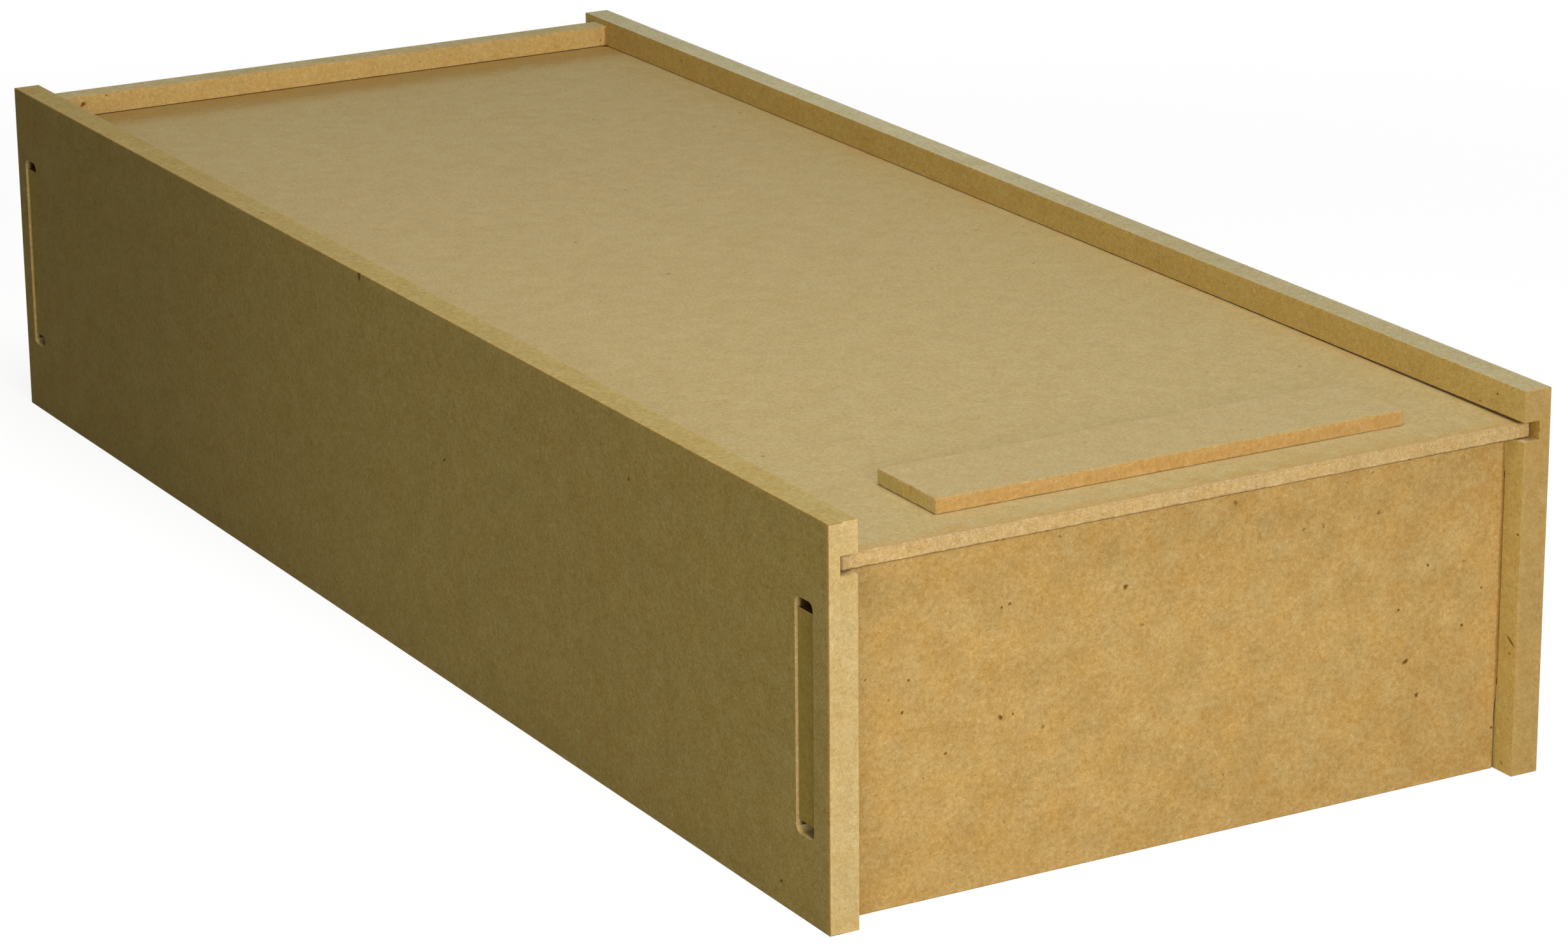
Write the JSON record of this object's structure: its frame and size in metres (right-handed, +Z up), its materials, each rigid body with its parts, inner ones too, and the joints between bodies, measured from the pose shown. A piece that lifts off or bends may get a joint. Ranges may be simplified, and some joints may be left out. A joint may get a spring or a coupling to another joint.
{
  "type": "sliding lid box",
  "caption": "Long low fibreboard box with tabbed corners and a flat lid that slides out at the front in grooves, with a pull strip across it.",
  "frame": {"origin": "middle of the base, on the surface that the box stands on", "axes": "+X across the box to the right as seen from the front, +Y along the box to the back, +Z up; the lid slides out towards -Y"},
  "size_m": [0.155, 0.372, 0.076],
  "materials": {
    "side_board": "unfinished medium density fibreboard, matt, fine fibres",
    "end_board": "unfinished medium density fibreboard, matt, mottled fibres",
    "bottom_board": "unfinished thin fibreboard, matt",
    "lid_board": "unfinished thin fibreboard, smooth pressed face",
    "pull_strip": "unfinished thin fibreboard, sawn edges"
  },
  "bodies": {
    "box": {"side_panel_left": "side_board", "side_panel_right": "side_board", "front_panel": "end_board", "back_panel": "end_board", "bottom_board": "bottom_board"},
    "lid": {"lid_board": "lid_board", "lid_pull": "pull_strip"}
  },
  "joints": [
    {"name": "lid_slide", "type": "slide", "parent": "box", "child": "lid", "axis": [0, -1, 0], "range_m": [0, 0.3645]}
  ]
}
